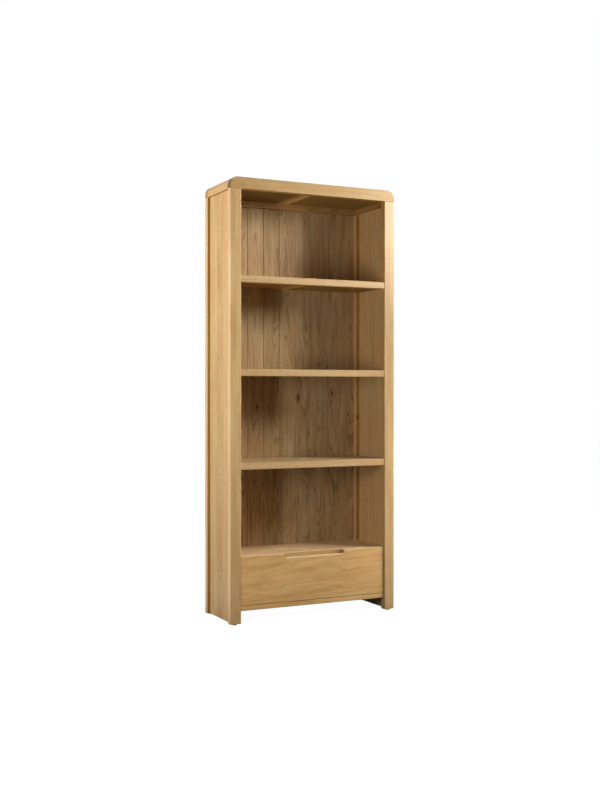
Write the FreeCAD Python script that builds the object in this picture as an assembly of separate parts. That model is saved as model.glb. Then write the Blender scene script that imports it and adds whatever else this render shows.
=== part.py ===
import FreeCAD, Part
import math
import os

# Tall oak bookcase with four open compartments and one deep drawer.
# Frame: X across the width, Y from front to back (the front is at -Y), Z up.
# The origin is on the floor, in the middle of the footprint. All sizes are in millimetres.

# ---- Overall size ----
WIDTH = 800.0
DEPTH = 300.0
HEIGHT = 1900.0

# ---- Gables: two posts and a recessed panel on each side ----
POST_WIDTH = 50.0
POST_DEPTH = 30.0
ARRIS_RADIUS = 3.0            # rounding of every exposed long edge
PANEL_THICKNESS = 18.0
PANEL_SETBACK = 13.0          # recess of the panel behind the outer face of the posts
TONGUE_THICKNESS = 8.0
TONGUE_LENGTH = 8.0
GROOVE_RELIEF = 0.5           # air left beyond the end of a tongue

# ---- Glides under the posts ----
GLIDE_DIAMETER = 20.0
GLIDE_HEIGHT = 5.0
GLIDE_CHAMFER = 1.2

# ---- Top: a frame of four rails round a panel, with a two-leaf ceiling ----
TOP_HEIGHT = 50.0
TOP_CORNER_RADIUS = 35.0
TOP_PANEL_THICKNESS = 18.0
JOINT_CHAMFER = 2.0           # half of the V that marks a joint between two pieces
CEILING_THICKNESS = 12.0
CENTRE_RAIL_WIDTH = 60.0
LEAF_JOINT_CHAMFER = 4.0      # the same, for the leaves of the ceiling and the shelves
BACK_BATTEN_HEIGHT = 27.0
SIDE_BATTEN_HEIGHT = 19.0

# ---- Fixed shelves ----
SHELF_NAMES = ("lower", "middle", "upper")
OPENING_HEIGHT = 369.0        # clear height above the deck and above each shelf but the last
SHELF_THICKNESS = 30.0
SHELF_SETBACK = 2.0           # front of the lipping behind the front of the posts
SHELF_BOARD_THICKNESS = 25.0  # flush on top, so the underside is recessed behind the lipping

# ---- Deck over the drawer ----
DECK_TOP = 287.5
DECK_THICKNESS = 18.0
DECK_LIPPING_DEPTH = 30.0

# ---- Rails under the drawer ----
BASE_RAIL_BOTTOM = 57.0
BASE_RAIL_HEIGHT = 20.5
BASE_RAIL_SETBACK = 6.0

# ---- Tongued and grooved back boards ----
BOARD_COUNT = 9
BOARD_THICKNESS = 8.0
BOARD_REAR_SETBACK = 1.0
BOARD_OVERLAP = 10.0          # how far the outer boards reach behind the posts and the top rail
BOARD_TONGUE = 4.0
BOARD_TONGUE_THICKNESS = 3.0
BOARD_CHAMFER = 2.0
REBATE_RELIEF = 0.5

# ---- Drawer ----
FRONT_THICKNESS = 25.0        # the back of the front is flush with the backs of the posts
FRONT_SIDE_GAP = 1.5
FRONT_BOTTOM_GAP = 2.0
FRONT_ARRIS = 1.5
FRONT_TO_DECK_GAP = 1.0
PULL_WIDTH = 290.0
PULL_DEPTH = 15.0
PULL_CORNER_RADIUS = 8.0
PULL_LIP = 8.0                # flat top of the lip that the fingers hook over
PULL_UNDERCUT = 10.0          # how far the slot slopes down behind the lip
BOX_TOP_GAP = 14.5            # air between the box and the deck
BOX_BOTTOM_GAP = 7.5          # air between the box and the top of the base rail
BOX_BACK_GAP = 11.0           # air between the box and the back boards
BOX_WALL = 12.0
BOX_BOTTOM_THICKNESS = 6.0
BOX_BOTTOM_HEIGHT = 12.0      # underside of the bottom above the lower edge of the sides
BOX_GROOVE_DEPTH = 6.0
TAIL_COUNT = 5
TAIL_SLOPE = 1.0 / 7.0
TAIL_SHARE = 0.62             # widest part of a tail as a share of the pitch of the tails

# ---- Telescopic runners, as long as the drawer box ----
RUNNER_HEIGHT = 45.0
RUNNER_THICKNESS = 13.0
RUNNER_SHEET = 1.2
RUNNER_CLEARANCE = 0.4
RUNNER_LIP = 3.0              # how far each lip hooks round the next member
RUNNER_STEP = 2.0             # how far each member stands out of the one that holds it
RUNNER_BEND = 0.8
RUNNER_ABOVE_BOX = 65.0       # centre line of the runner above the lower edge of the box
RUNNER_BATTEN_HEIGHT = 70.0

# ---- Planes that several pieces share ----
FRONT = -DEPTH / 2
BACK = DEPTH / 2
POST_INNER_X = WIDTH / 2 - POST_WIDTH
PANEL_OUTER_X = WIDTH / 2 - PANEL_SETBACK
PANEL_INNER_X = PANEL_OUTER_X - PANEL_THICKNESS
TONGUE_X = (PANEL_OUTER_X + PANEL_INNER_X - TONGUE_THICKNESS) / 2
FRONT_POST_BACK = FRONT + POST_DEPTH
REAR_POST_FRONT = BACK - POST_DEPTH
BOARD_REAR = BACK - BOARD_REAR_SETBACK
BOARD_FRONT = BOARD_REAR - BOARD_THICKNESS
BOARD_EDGE_X = POST_INNER_X + BOARD_OVERLAP
CEILING = HEIGHT - TOP_HEIGHT
GROOVE_DEPTH = TONGUE_LENGTH + GROOVE_RELIEF
BASE_RAIL_TOP = BASE_RAIL_BOTTOM + BASE_RAIL_HEIGHT
DRAWER_FRONT_BACK = FRONT_POST_BACK
DRAWER_FACE = DRAWER_FRONT_BACK - FRONT_THICKNESS
DECK_FRONT = DRAWER_FRONT_BACK + FRONT_TO_DECK_GAP
DECK_BOTTOM = DECK_TOP - DECK_THICKNESS
BOX_HALF_WIDTH = POST_INNER_X - RUNNER_THICKNESS
BOX_BOTTOM = BASE_RAIL_TOP + BOX_BOTTOM_GAP
BOX_TOP = DECK_BOTTOM - BOX_TOP_GAP
BOX_BACK = BOARD_FRONT - BOX_BACK_GAP
RUNNER_CENTRE = BOX_BOTTOM + RUNNER_ABOVE_BOX


def vector(plane, u, v, w):
    """A point from outline coordinates (u, v) and the distance w along the axis of extrusion."""
    if plane == "x":
        return FreeCAD.Vector(w, u, v)
    if plane == "y":
        return FreeCAD.Vector(u, w, v)
    return FreeCAD.Vector(u, v, w)


def outline(plane, corners, w):
    """A closed wire through corners (u, v, radius), with each radius as a true arc."""
    starts = []
    arcs = []
    ends = []
    for index, (u, v, radius) in enumerate(corners):
        here = FreeCAD.Vector(u, v, 0)
        before = FreeCAD.Vector(*corners[index - 1][:2], 0)
        after = FreeCAD.Vector(*corners[(index + 1) % len(corners)][:2], 0)
        back = (before - here).normalize()
        ahead = (after - here).normalize()
        half = back.getAngle(ahead) / 2
        start = here + back * (radius / math.tan(half))
        end = here + ahead * (radius / math.tan(half))
        middle = None
        if radius:
            towards = (back + ahead).normalize()
            middle = here + towards * (radius / math.sin(half) - radius)
        starts.append(start)
        arcs.append(middle)
        ends.append(end)

    def place(point):
        return vector(plane, point.x, point.y, w)

    edges = []
    for index, start in enumerate(starts):
        if arcs[index]:
            edges.append(Part.Arc(place(start), place(arcs[index]), place(ends[index])).toShape())
        following = starts[(index + 1) % len(starts)]
        edges.append(Part.LineSegment(place(ends[index]), place(following)).toShape())
    return Part.Wire(edges)


def prism(plane, corners, low, high):
    """A solid with the outline (u, v, radius), from low to high along the axis named by plane."""
    travel = vector(plane, 0, 0, high - low)
    return Part.Face(outline(plane, corners, low)).extrude(travel)


def box(x, y, z):
    """A plain block between pairs of coordinates."""
    corner = FreeCAD.Vector(x[0], y[0], z[0])
    return Part.makeBox(x[1] - x[0], y[1] - y[0], z[1] - z[0], corner)


def mirrored(shape):
    """The same piece for the other side of the bookcase."""
    return shape.mirror(FreeCAD.Vector(0, 0, 0), FreeCAD.Vector(1, 0, 0))


def edges_on(shape, axis, value, keep=lambda edge: True):
    """The edges of a shape that lie in the plane where the axis has the given value."""
    found = []
    for edge in shape.Edges:
        box_of_edge = edge.BoundBox
        low = getattr(box_of_edge, axis + "Min")
        high = getattr(box_of_edge, axis + "Max")
        if abs(low - value) < 1e-4 and abs(high - value) < 1e-4 and keep(edge):
            found.append(edge)
    return found


def save(name, shape):
    """Write one node, a single solid or a group of separate solids."""
    for solid in shape.Solids:
        if not solid.isValid() or solid.Volume <= 0:
            raise ValueError("bad solid in " + name)
    shape.exportStep("parts/" + name + ".step")
    print(name, len(shape.Solids), round(shape.Volume / 1000, 1))


def save_pair(name, right_shape):
    """Write a right-hand piece and its mirror image as two nodes."""
    save("right_" + name, right_shape)
    save("left_" + name, mirrored(right_shape))


# ---- Gables ----
def front_post():
    """Right front post, grooved behind for the tongue of the side panel."""
    groove_bottom = FRONT_POST_BACK - GROOVE_DEPTH
    corners = [
        (POST_INNER_X, FRONT, ARRIS_RADIUS),
        (WIDTH / 2, FRONT, ARRIS_RADIUS),
        (WIDTH / 2, FRONT_POST_BACK, ARRIS_RADIUS),
        (TONGUE_X + TONGUE_THICKNESS, FRONT_POST_BACK, 0),
        (TONGUE_X + TONGUE_THICKNESS, groove_bottom, 0),
        (TONGUE_X, groove_bottom, 0),
        (TONGUE_X, FRONT_POST_BACK, 0),
        (POST_INNER_X, FRONT_POST_BACK, 0),
    ]
    return prism("z", corners, GLIDE_HEIGHT, CEILING)


def rear_post():
    """Right rear post, grooved for the side panel and rebated for the back boards."""
    groove_bottom = REAR_POST_FRONT + GROOVE_DEPTH
    rebate_x = BOARD_EDGE_X + REBATE_RELIEF
    corners = [
        (POST_INNER_X, REAR_POST_FRONT, ARRIS_RADIUS),
        (TONGUE_X, REAR_POST_FRONT, 0),
        (TONGUE_X, groove_bottom, 0),
        (TONGUE_X + TONGUE_THICKNESS, groove_bottom, 0),
        (TONGUE_X + TONGUE_THICKNESS, REAR_POST_FRONT, 0),
        (WIDTH / 2, REAR_POST_FRONT, ARRIS_RADIUS),
        (WIDTH / 2, BACK, ARRIS_RADIUS),
        (rebate_x, BACK, 0),
        (rebate_x, BOARD_FRONT, 0),
        (POST_INNER_X, BOARD_FRONT, 0),
    ]
    return prism("z", corners, GLIDE_HEIGHT, CEILING)


def side_panel():
    """Right side panel, tongued into both posts and into the end rail of the top."""
    front_edge = FRONT_POST_BACK
    back_edge = REAR_POST_FRONT
    tongue_outer = TONGUE_X + TONGUE_THICKNESS
    corners = [
        (PANEL_INNER_X, front_edge, 0),
        (TONGUE_X, front_edge, 0),
        (TONGUE_X, front_edge - TONGUE_LENGTH, 0),
        (tongue_outer, front_edge - TONGUE_LENGTH, 0),
        (tongue_outer, front_edge, 0),
        (PANEL_OUTER_X, front_edge, 0),
        (PANEL_OUTER_X, back_edge, 0),
        (tongue_outer, back_edge, 0),
        (tongue_outer, back_edge + TONGUE_LENGTH, 0),
        (TONGUE_X, back_edge + TONGUE_LENGTH, 0),
        (TONGUE_X, back_edge, 0),
        (PANEL_INNER_X, back_edge, 0),
    ]
    panel = prism("z", corners, GLIDE_HEIGHT, CEILING)
    top_tongue = box((TONGUE_X, tongue_outer), (front_edge, back_edge), (CEILING, CEILING + TONGUE_LENGTH))
    return panel.fuse(top_tongue).removeSplitter()


def glides():
    """A round glide under the middle of each post."""
    radius = GLIDE_DIAMETER / 2
    post_x = WIDTH / 2 - POST_WIDTH / 2
    post_y = DEPTH / 2 - POST_DEPTH / 2
    discs = []
    for x in (-post_x, post_x):
        for y in (-post_y, post_y):
            disc = Part.makeCylinder(radius, GLIDE_HEIGHT, FreeCAD.Vector(x, y, 0))
            discs.append(disc.makeChamfer(GLIDE_CHAMFER, edges_on(disc, "Z", 0)))
    return Part.makeCompound(discs)


# ---- Top ----
def top_outline():
    """Front view of the top, with its two rounded upper corners."""
    return [
        (-WIDTH / 2, CEILING, 0),
        (WIDTH / 2, CEILING, 0),
        (WIDTH / 2, HEIGHT, TOP_CORNER_RADIUS),
        (-WIDTH / 2, HEIGHT, TOP_CORNER_RADIUS),
    ]


def is_outside(edge):
    """True for the edges of the top that show outside, so not for those in the ceiling plane."""
    return edge.BoundBox.ZMax > CEILING + 1e-3


def top_front_rail():
    """Full-width rail over the front posts, rounded in front and chamfered at the joint behind."""
    rail = prism("y", top_outline(), FRONT, FRONT_POST_BACK)
    rail = rail.makeChamfer(JOINT_CHAMFER, edges_on(rail, "Y", FRONT_POST_BACK, is_outside))
    return rail.makeFillet(ARRIS_RADIUS, edges_on(rail, "Y", FRONT))


def top_back_rail():
    """Full-width rail over the rear posts, rebated below for the upper ends of the back boards."""
    rail = prism("y", top_outline(), REAR_POST_FRONT, BACK)
    rail = rail.makeChamfer(JOINT_CHAMFER, edges_on(rail, "Y", REAR_POST_FRONT, is_outside))
    rail = rail.makeFillet(ARRIS_RADIUS, edges_on(rail, "Y", BACK, is_outside))
    rebate_x = BOARD_EDGE_X + REBATE_RELIEF
    rebate = box((-rebate_x, rebate_x), (BOARD_FRONT, BACK), (CEILING, CEILING + BOARD_OVERLAP))
    return rail.cut(rebate)


def top_end_rail():
    """Right end rail, with the same rounded corner as the long rails and a groove for the panel."""
    corners = [
        (POST_INNER_X, CEILING, 0),
        (TONGUE_X, CEILING, 0),
        (TONGUE_X, CEILING + GROOVE_DEPTH, 0),
        (TONGUE_X + TONGUE_THICKNESS, CEILING + GROOVE_DEPTH, 0),
        (TONGUE_X + TONGUE_THICKNESS, CEILING, 0),
        (WIDTH / 2, CEILING, 0),
        (WIDTH / 2, HEIGHT, TOP_CORNER_RADIUS),
        (POST_INNER_X, HEIGHT, 0),
    ]
    rail = prism("y", corners, FRONT_POST_BACK, REAR_POST_FRONT)

    def is_outer(edge):
        return is_outside(edge) and edge.BoundBox.XMin > TONGUE_X + TONGUE_THICKNESS - 1e-3

    ends = edges_on(rail, "Y", FRONT_POST_BACK, is_outer) + edges_on(rail, "Y", REAR_POST_FRONT, is_outer)
    return rail.makeChamfer(JOINT_CHAMFER, ends)


def top_panel():
    """Panel inside the top frame, chamfered along the four joints."""
    panel = box((-POST_INNER_X, POST_INNER_X), (FRONT_POST_BACK, REAR_POST_FRONT),
                (HEIGHT - TOP_PANEL_THICKNESS, HEIGHT))
    return panel.makeChamfer(JOINT_CHAMFER, edges_on(panel, "Z", HEIGHT))


def top_centre_rail():
    """Short rail between the long rails, which carries the joint of the two ceiling leaves."""
    half = CENTRE_RAIL_WIDTH / 2
    return box((-half, half), (FRONT_POST_BACK, REAR_POST_FRONT),
               (CEILING + CEILING_THICKNESS, HEIGHT - TOP_PANEL_THICKNESS))


def centre_jointed_leaf(outer_x, bottom, top, front, back):
    """Right half of a board in two leaves, with the V of the middle joint on its underside."""
    corners = [
        (LEAF_JOINT_CHAMFER, bottom, 0),
        (outer_x, bottom, 0),
        (outer_x, top, 0),
        (0, top, 0),
        (0, bottom + LEAF_JOINT_CHAMFER, 0),
    ]
    return prism("y", corners, front, back)


def upper_back_batten():
    """Batten under the ceiling, between the rear posts and against the back boards."""
    return box((-POST_INNER_X, POST_INNER_X), (REAR_POST_FRONT, BOARD_FRONT),
               (CEILING - BACK_BATTEN_HEIGHT, CEILING))


def side_batten():
    """Right batten under the end rail, which fills the step between panel and posts."""
    return box((POST_INNER_X, PANEL_INNER_X), (FRONT_POST_BACK, REAR_POST_FRONT),
               (CEILING - SIDE_BATTEN_HEIGHT, CEILING))


# ---- Shelves and deck ----
def tongue_height(bottom, top):
    """Lower and upper face of a tongue in the middle of a board's thickness."""
    middle = (bottom + top) / 2
    return middle - TONGUE_THICKNESS / 2, middle + TONGUE_THICKNESS / 2


def cut_round_rear_posts(board):
    """Notch a full-width board so that it passes between the rear posts."""
    heights = (board.BoundBox.ZMin, board.BoundBox.ZMax)
    for sign in (-1, 1):
        span = sorted((sign * POST_INNER_X, sign * PANEL_INNER_X))
        board = board.cut(box(span, (REAR_POST_FRONT, BOARD_FRONT), heights))
    return board


def shelf_lipping(top):
    """Front lipping of a shelf, between the posts, rounded in front and grooved behind."""
    bottom = top - SHELF_THICKNESS
    face = FRONT + SHELF_SETBACK
    groove_low, groove_high = tongue_height(top - SHELF_BOARD_THICKNESS, top)
    corners = [
        (face, bottom, ARRIS_RADIUS),
        (FRONT_POST_BACK, bottom, 0),
        (FRONT_POST_BACK, groove_low, 0),
        (FRONT_POST_BACK - GROOVE_DEPTH, groove_low, 0),
        (FRONT_POST_BACK - GROOVE_DEPTH, groove_high, 0),
        (FRONT_POST_BACK, groove_high, 0),
        (FRONT_POST_BACK, top, 0),
        (face, top, ARRIS_RADIUS),
    ]
    return prism("x", corners, -POST_INNER_X, POST_INNER_X)


def shelf_leaf(top):
    """Right leaf of a shelf board, tongued into the lipping and notched round the rear post."""
    bottom = top - SHELF_BOARD_THICKNESS
    leaf = centre_jointed_leaf(PANEL_INNER_X, bottom, top, FRONT_POST_BACK, BOARD_FRONT)
    tongue = box((0, POST_INNER_X), (FRONT_POST_BACK - TONGUE_LENGTH, FRONT_POST_BACK),
                 tongue_height(bottom, top))
    return cut_round_rear_posts(leaf.fuse(tongue).removeSplitter())


def deck_lipping():
    """Front strip of the deck, grooved behind for the deck board."""
    back = DECK_FRONT + DECK_LIPPING_DEPTH
    groove_low, groove_high = tongue_height(DECK_BOTTOM, DECK_TOP)
    corners = [
        (DECK_FRONT, DECK_BOTTOM, 0),
        (back, DECK_BOTTOM, 0),
        (back, groove_low, 0),
        (back - GROOVE_DEPTH, groove_low, 0),
        (back - GROOVE_DEPTH, groove_high, 0),
        (back, groove_high, 0),
        (back, DECK_TOP, 0),
        (DECK_FRONT, DECK_TOP, FRONT_ARRIS),
    ]
    return prism("x", corners, -PANEL_INNER_X, PANEL_INNER_X)


def deck_board():
    """Deck board behind its lipping, notched round the rear posts."""
    front = DECK_FRONT + DECK_LIPPING_DEPTH
    board = box((-PANEL_INNER_X, PANEL_INNER_X), (front, BOARD_FRONT), (DECK_BOTTOM, DECK_TOP))
    tongue = box((-PANEL_INNER_X, PANEL_INNER_X), (front - TONGUE_LENGTH, front),
                 tongue_height(DECK_BOTTOM, DECK_TOP))
    return cut_round_rear_posts(board.fuse(tongue).removeSplitter())


# ---- Rails under the drawer ----
def base_front_rail():
    """Rail between the front posts, under the drawer front."""
    face = FRONT + BASE_RAIL_SETBACK
    corners = [
        (face, BASE_RAIL_BOTTOM, ARRIS_RADIUS),
        (FRONT_POST_BACK, BASE_RAIL_BOTTOM, 0),
        (FRONT_POST_BACK, BASE_RAIL_TOP, 0),
        (face, BASE_RAIL_TOP, ARRIS_RADIUS),
    ]
    return prism("x", corners, -POST_INNER_X, POST_INNER_X)


def base_back_rail():
    """Rail between the rear posts that holds the lower ends of the back boards."""
    return box((-POST_INNER_X, POST_INNER_X), (REAR_POST_FRONT, BOARD_FRONT),
               (BASE_RAIL_BOTTOM, BASE_RAIL_TOP))


# ---- Back boards ----
def back_board(index):
    """One vertical board: groove on its left edge, tongue on its right, V-joints inside."""
    pitch = 2 * BOARD_EDGE_X / BOARD_COUNT
    left = -BOARD_EDGE_X + index * pitch
    right = left + pitch
    tongue_front = BOARD_FRONT + (BOARD_THICKNESS - BOARD_TONGUE_THICKNESS) / 2
    tongue_back = tongue_front + BOARD_TONGUE_THICKNESS
    corners = [(left + BOARD_CHAMFER, BOARD_FRONT, 0), (right - BOARD_CHAMFER, BOARD_FRONT, 0)]
    corners.append((right, BOARD_FRONT + BOARD_CHAMFER, 0))
    if index < BOARD_COUNT - 1:
        corners += [
            (right, tongue_front, 0),
            (right + BOARD_TONGUE, tongue_front, 0),
            (right + BOARD_TONGUE, tongue_back, 0),
            (right, tongue_back, 0),
        ]
    corners += [(right, BOARD_REAR, 0), (left, BOARD_REAR, 0)]
    if index > 0:
        depth = BOARD_TONGUE + GROOVE_RELIEF
        corners += [
            (left, tongue_back, 0),
            (left + depth, tongue_back, 0),
            (left + depth, tongue_front, 0),
            (left, tongue_front, 0),
        ]
    corners.append((left, BOARD_FRONT + BOARD_CHAMFER, 0))
    return prism("z", corners, BASE_RAIL_BOTTOM, CEILING + BOARD_OVERLAP - REBATE_RELIEF)


# ---- Drawer ----
def drawer_front():
    """Inset drawer front with a finger pull cut into the middle of its upper edge."""
    half_width = POST_INNER_X - FRONT_SIDE_GAP
    bottom = BASE_RAIL_TOP + FRONT_BOTTOM_GAP
    face = [
        (-half_width, bottom, 0),
        (half_width, bottom, 0),
        (half_width, DECK_TOP, 0),
        (-half_width, DECK_TOP, 0),
    ]
    front = prism("y", face, DRAWER_FACE, DRAWER_FRONT_BACK)
    pull_bottom = DECK_TOP - PULL_DEPTH
    slot = [
        (-PULL_WIDTH / 2, pull_bottom, PULL_CORNER_RADIUS),
        (PULL_WIDTH / 2, pull_bottom, PULL_CORNER_RADIUS),
        (PULL_WIDTH / 2, DECK_TOP, 0),
        (-PULL_WIDTH / 2, DECK_TOP, 0),
    ]
    front = front.cut(prism("y", slot, DRAWER_FACE, DRAWER_FRONT_BACK))
    undercut = [
        (DRAWER_FACE + PULL_LIP, pull_bottom, 0),
        (DRAWER_FRONT_BACK, pull_bottom - PULL_UNDERCUT, 0),
        (DRAWER_FRONT_BACK, pull_bottom, 0),
    ]
    reach = PULL_WIDTH / 2 - PULL_CORNER_RADIUS
    front = front.cut(prism("x", undercut, -reach, reach))
    return front.makeFillet(FRONT_ARRIS, edges_on(front, "Y", DRAWER_FACE))


def tails(end, outwards):
    """Right-hand dovetails that run from the plane y = end through one wall thickness."""
    pitch = (BOX_TOP - BOX_BOTTOM) / TAIL_COUNT
    wide = pitch * TAIL_SHARE / 2
    narrow = wide - BOX_WALL * TAIL_SLOPE
    tip = end + outwards * BOX_WALL
    found = []
    for index in range(TAIL_COUNT):
        middle = BOX_BOTTOM + (index + 0.5) * pitch
        corners = [
            (end, middle - narrow, 0),
            (end, middle + narrow, 0),
            (tip, middle + wide, 0),
            (tip, middle - wide, 0),
        ]
        found.append(prism("x", corners, BOX_HALF_WIDTH - BOX_WALL, BOX_HALF_WIDTH))
    return found


def box_groove():
    """The space of the groove that holds the drawer bottom, all round the box."""
    low = BOX_BOTTOM + BOX_BOTTOM_HEIGHT
    reach = BOX_HALF_WIDTH - BOX_WALL + BOX_GROOVE_DEPTH
    front = DRAWER_FRONT_BACK + BOX_WALL - BOX_GROOVE_DEPTH
    back = BOX_BACK - BOX_WALL + BOX_GROOVE_DEPTH
    return box((-reach, reach), (front, back), (low, low + BOX_BOTTOM_THICKNESS))


def drawer_end(front, back, seat, outwards):
    """Front or back of the drawer box, with sockets for the dovetails of both sides."""
    board = box((-BOX_HALF_WIDTH, BOX_HALF_WIDTH), (front, back), (BOX_BOTTOM, BOX_TOP))
    for tail in tails(seat, outwards):
        board = board.cut(tail).cut(mirrored(tail))
    return board.cut(box_groove())


def drawer_side():
    """Right side of the drawer box, with dovetails at both ends."""
    front = DRAWER_FRONT_BACK + BOX_WALL
    back = BOX_BACK - BOX_WALL
    side = box((BOX_HALF_WIDTH - BOX_WALL, BOX_HALF_WIDTH), (front, back), (BOX_BOTTOM, BOX_TOP))
    side = side.fuse(tails(front, -1) + tails(back, 1)).removeSplitter()
    return side.cut(box_groove())


def drawer_bottom():
    """Thin bottom that lies in the groove, a little short of its end."""
    low = BOX_BOTTOM + BOX_BOTTOM_HEIGHT
    reach = BOX_HALF_WIDTH - BOX_WALL + BOX_GROOVE_DEPTH - GROOVE_RELIEF
    front = DRAWER_FRONT_BACK + BOX_WALL - BOX_GROOVE_DEPTH + GROOVE_RELIEF
    back = BOX_BACK - BOX_WALL + BOX_GROOVE_DEPTH - GROOVE_RELIEF
    return box((-reach, reach), (front, back), (low, low + BOX_BOTTOM_THICKNESS))


# ---- Telescopic runners ----
def runner_section(corners):
    """Right-hand runner member from half of its section, given as (from wall, from centre, bend)."""
    upper = [(POST_INNER_X - wall, RUNNER_CENTRE + rise, bend) for wall, rise, bend in corners]
    lower = [(POST_INNER_X - wall, RUNNER_CENTRE - rise, bend) for wall, rise, bend in reversed(corners)]
    return prism("y", upper + lower, DECK_FRONT, BOX_BACK)


def cabinet_member():
    """Outer channel on the batten, with lips that hook round the middle member."""
    high = RUNNER_HEIGHT / 2
    mouth = RUNNER_THICKNESS - 2 * RUNNER_STEP
    inside = high - RUNNER_SHEET
    lip = inside - RUNNER_LIP
    return runner_section([
        (0, high, RUNNER_BEND),
        (mouth, high, RUNNER_BEND),
        (mouth, lip, 0),
        (mouth - RUNNER_SHEET, lip, 0),
        (mouth - RUNNER_SHEET, inside, 0),
        (RUNNER_SHEET, inside, 0),
    ])


def middle_member():
    """Middle channel: its flanged back runs in the outer channel, and its lips hold the drawer member."""
    back = RUNNER_SHEET + RUNNER_CLEARANCE
    hook = RUNNER_THICKNESS - 2 * RUNNER_STEP - RUNNER_SHEET - RUNNER_CLEARANCE
    rim = RUNNER_HEIGHT / 2 - RUNNER_SHEET - RUNNER_CLEARANCE
    neck = rim - RUNNER_LIP
    mouth = RUNNER_THICKNESS - RUNNER_STEP
    inside = neck - RUNNER_SHEET
    lip = inside - RUNNER_LIP
    return runner_section([
        (back, rim, RUNNER_BEND),
        (hook, rim, 0),
        (hook, rim - RUNNER_SHEET, 0),
        (back + RUNNER_SHEET, rim - RUNNER_SHEET, 0),
        (back + RUNNER_SHEET, neck, 0),
        (mouth, neck, RUNNER_BEND),
        (mouth, lip, 0),
        (mouth - RUNNER_SHEET, lip, 0),
        (mouth - RUNNER_SHEET, inside, 0),
        (back + RUNNER_SHEET, inside, 0),
    ])


def drawer_member():
    """Hat section: its flanged rims run in the middle channel, and its crown is on the drawer side."""
    back = 2 * (RUNNER_SHEET + RUNNER_CLEARANCE)
    hook = RUNNER_THICKNESS - RUNNER_STEP - RUNNER_SHEET - RUNNER_CLEARANCE
    rim = RUNNER_HEIGHT / 2 - 2 * (RUNNER_SHEET + RUNNER_CLEARANCE) - RUNNER_LIP
    neck = rim - RUNNER_LIP
    inside = neck - RUNNER_SHEET
    return runner_section([
        (RUNNER_THICKNESS, neck, RUNNER_BEND),
        (back + RUNNER_SHEET, neck, 0),
        (back + RUNNER_SHEET, rim - RUNNER_SHEET, 0),
        (hook, rim - RUNNER_SHEET, 0),
        (hook, rim, 0),
        (back, rim, RUNNER_BEND),
        (back, inside, 0),
        (RUNNER_THICKNESS - RUNNER_SHEET, inside, 0),
    ])


def runner_batten():
    """Right batten that brings the runner out to the inner face of the posts."""
    half = RUNNER_BATTEN_HEIGHT / 2
    return box((POST_INNER_X, PANEL_INNER_X), (FRONT_POST_BACK, REAR_POST_FRONT),
               (RUNNER_CENTRE - half, RUNNER_CENTRE + half))


def build():
    """Write every node of the bookcase."""
    save_pair("front_post", front_post())
    save_pair("rear_post", rear_post())
    save_pair("side_panel", side_panel())
    save("glides", glides())

    save("top_front_rail", top_front_rail())
    save("top_back_rail", top_back_rail())
    save_pair("top_end_rail", top_end_rail())
    save("top_panel", top_panel())
    save("top_centre_rail", top_centre_rail())
    save_pair("ceiling_leaf", centre_jointed_leaf(POST_INNER_X, CEILING, CEILING + CEILING_THICKNESS,
                                                  FRONT_POST_BACK, REAR_POST_FRONT))
    save("upper_back_batten", upper_back_batten())
    save_pair("upper_side_batten", side_batten())

    for index, name in enumerate(SHELF_NAMES):
        top = DECK_TOP + (index + 1) * (OPENING_HEIGHT + SHELF_THICKNESS)
        save(name + "_shelf_lipping", shelf_lipping(top))
        save_pair(name + "_shelf_leaf", shelf_leaf(top))
    save("deck_lipping", deck_lipping())
    save("deck_board", deck_board())
    save("base_front_rail", base_front_rail())
    save("base_back_rail", base_back_rail())

    for index in range(BOARD_COUNT):
        save("back_board_" + str(index + 1), back_board(index))

    save("drawer_front", drawer_front())
    box_front = DRAWER_FRONT_BACK
    save("drawer_box_front", drawer_end(box_front, box_front + BOX_WALL, box_front + BOX_WALL, -1))
    save("drawer_box_back", drawer_end(BOX_BACK - BOX_WALL, BOX_BACK, BOX_BACK - BOX_WALL, 1))
    save_pair("drawer_side", drawer_side())
    save("drawer_bottom", drawer_bottom())

    save_pair("runner_batten", runner_batten())
    save_pair("runner_cabinet_member", cabinet_member())
    save_pair("runner_middle_member", middle_member())
    save_pair("runner_drawer_member", drawer_member())


os.makedirs("parts", exist_ok=True)
build()
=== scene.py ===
"""Finishes of a tall oak bookcase with one drawer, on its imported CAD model.

Every oak piece keeps its CAD shape and gets lacquered oak with its own cut of the log, the grain
running along the piece. Geometry Nodes make the screws. Lengths in fields ending in _mm are
millimetres and all others metres, in the frame of the CAD model. Angles are radians, unless the
field says degrees.
"""

import logging
import math
import random
from collections.abc import Mapping
from dataclasses import dataclass, field
from enum import Enum
from functools import cache

import bpy
from mathutils import Matrix, Vector


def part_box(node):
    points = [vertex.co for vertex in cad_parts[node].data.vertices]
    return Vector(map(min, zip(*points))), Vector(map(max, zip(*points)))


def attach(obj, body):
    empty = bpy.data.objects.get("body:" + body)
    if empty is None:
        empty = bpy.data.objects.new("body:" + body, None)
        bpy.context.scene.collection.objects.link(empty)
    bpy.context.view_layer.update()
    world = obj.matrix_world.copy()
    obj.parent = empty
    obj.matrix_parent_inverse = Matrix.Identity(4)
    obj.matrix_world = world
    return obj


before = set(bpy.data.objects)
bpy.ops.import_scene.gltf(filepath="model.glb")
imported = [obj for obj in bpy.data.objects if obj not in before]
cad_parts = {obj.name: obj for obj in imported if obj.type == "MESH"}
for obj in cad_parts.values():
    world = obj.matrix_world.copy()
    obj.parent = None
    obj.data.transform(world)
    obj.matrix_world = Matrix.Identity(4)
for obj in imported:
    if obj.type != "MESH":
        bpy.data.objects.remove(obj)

log = logging.getLogger("bookcase")

MM = 0.001

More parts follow.
